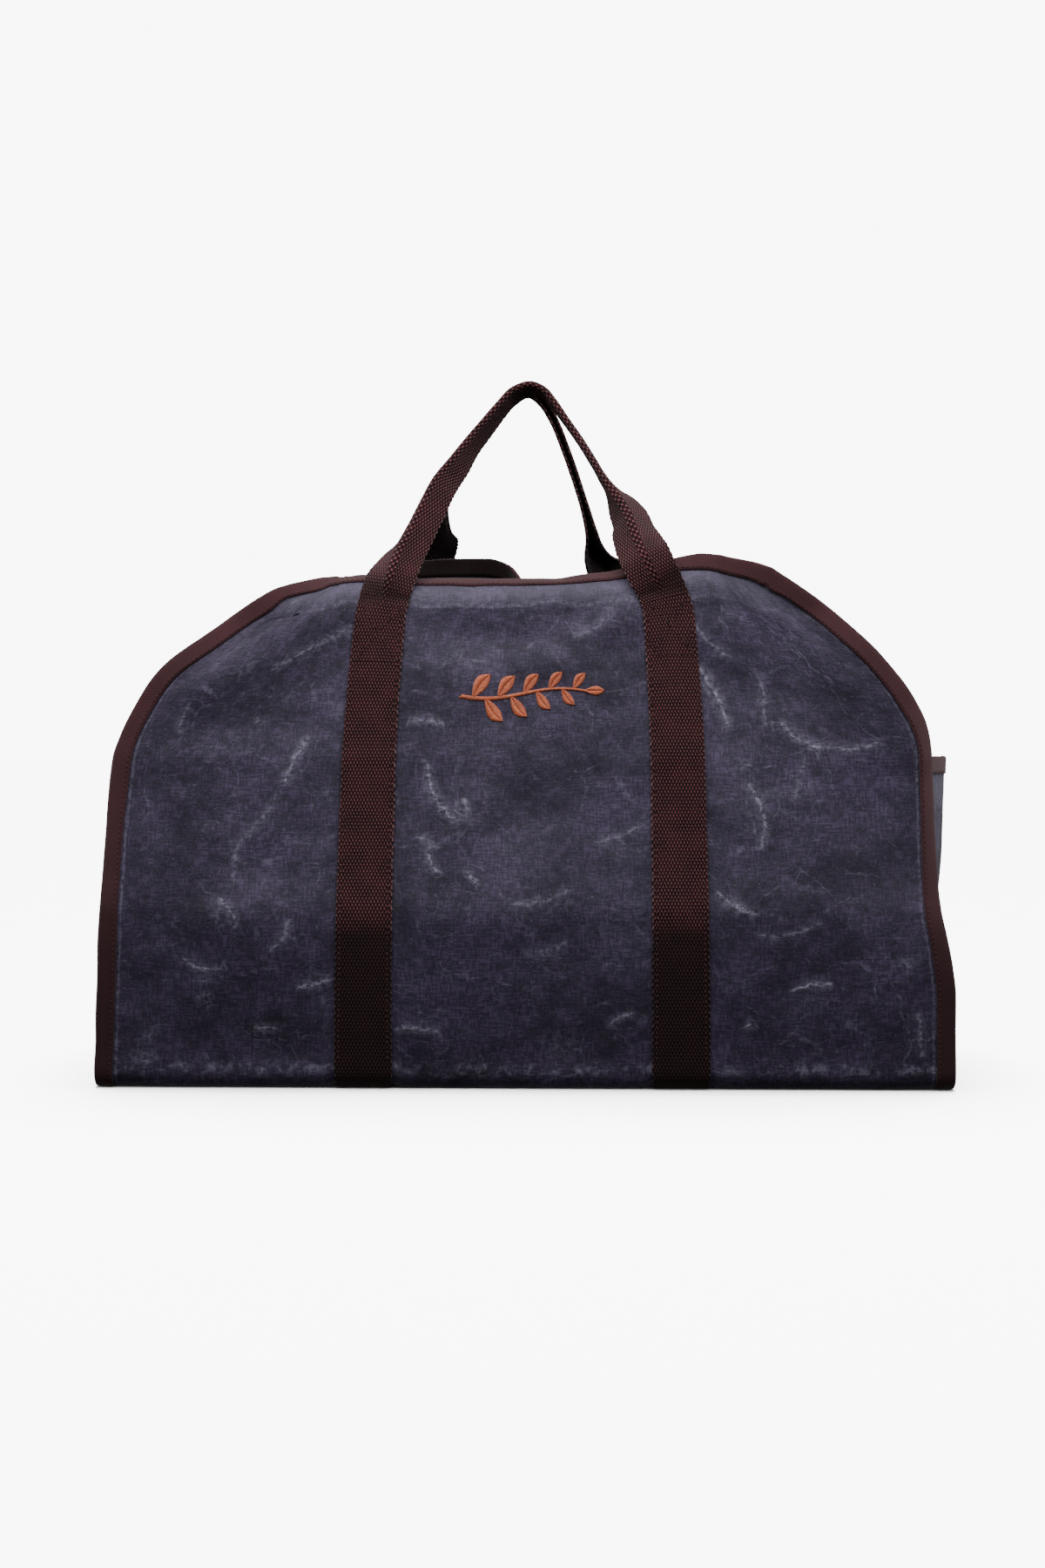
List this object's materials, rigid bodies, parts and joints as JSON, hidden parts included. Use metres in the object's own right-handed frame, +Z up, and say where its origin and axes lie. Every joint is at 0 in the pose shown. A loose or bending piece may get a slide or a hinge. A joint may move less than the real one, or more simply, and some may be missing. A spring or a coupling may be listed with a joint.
{
  "type": "canvas log carrier",
  "caption": "Waxed canvas log carrier: open-topped tote with sloped shoulders, end panels, bound edges and webbing straps rising as folded carrying handles.",
  "frame": {"origin": "middle of the base's underside, on the floor", "axes": "+Z up, +X along the logs, the front panel towards -Y"},
  "size_m": [0.6088, 0.2727, 0.5059],
  "materials": {
    "waxed_canvas": "waxed, slate navy with pale crease marks",
    "binding_tape": "matte dark brown twill",
    "webbing": "matte dark brown cotton weave"
  },
  "bodies": {
    "root": {"main_cloth": "waxed_canvas", "end_panel_left": "waxed_canvas", "end_panel_right": "waxed_canvas", "edge_binding": "binding_tape", "end_panel_left_binding": "binding_tape", "end_panel_right_binding": "binding_tape", "front_handle": "webbing", "back_handle": "webbing"}
  },
  "joints": []
}
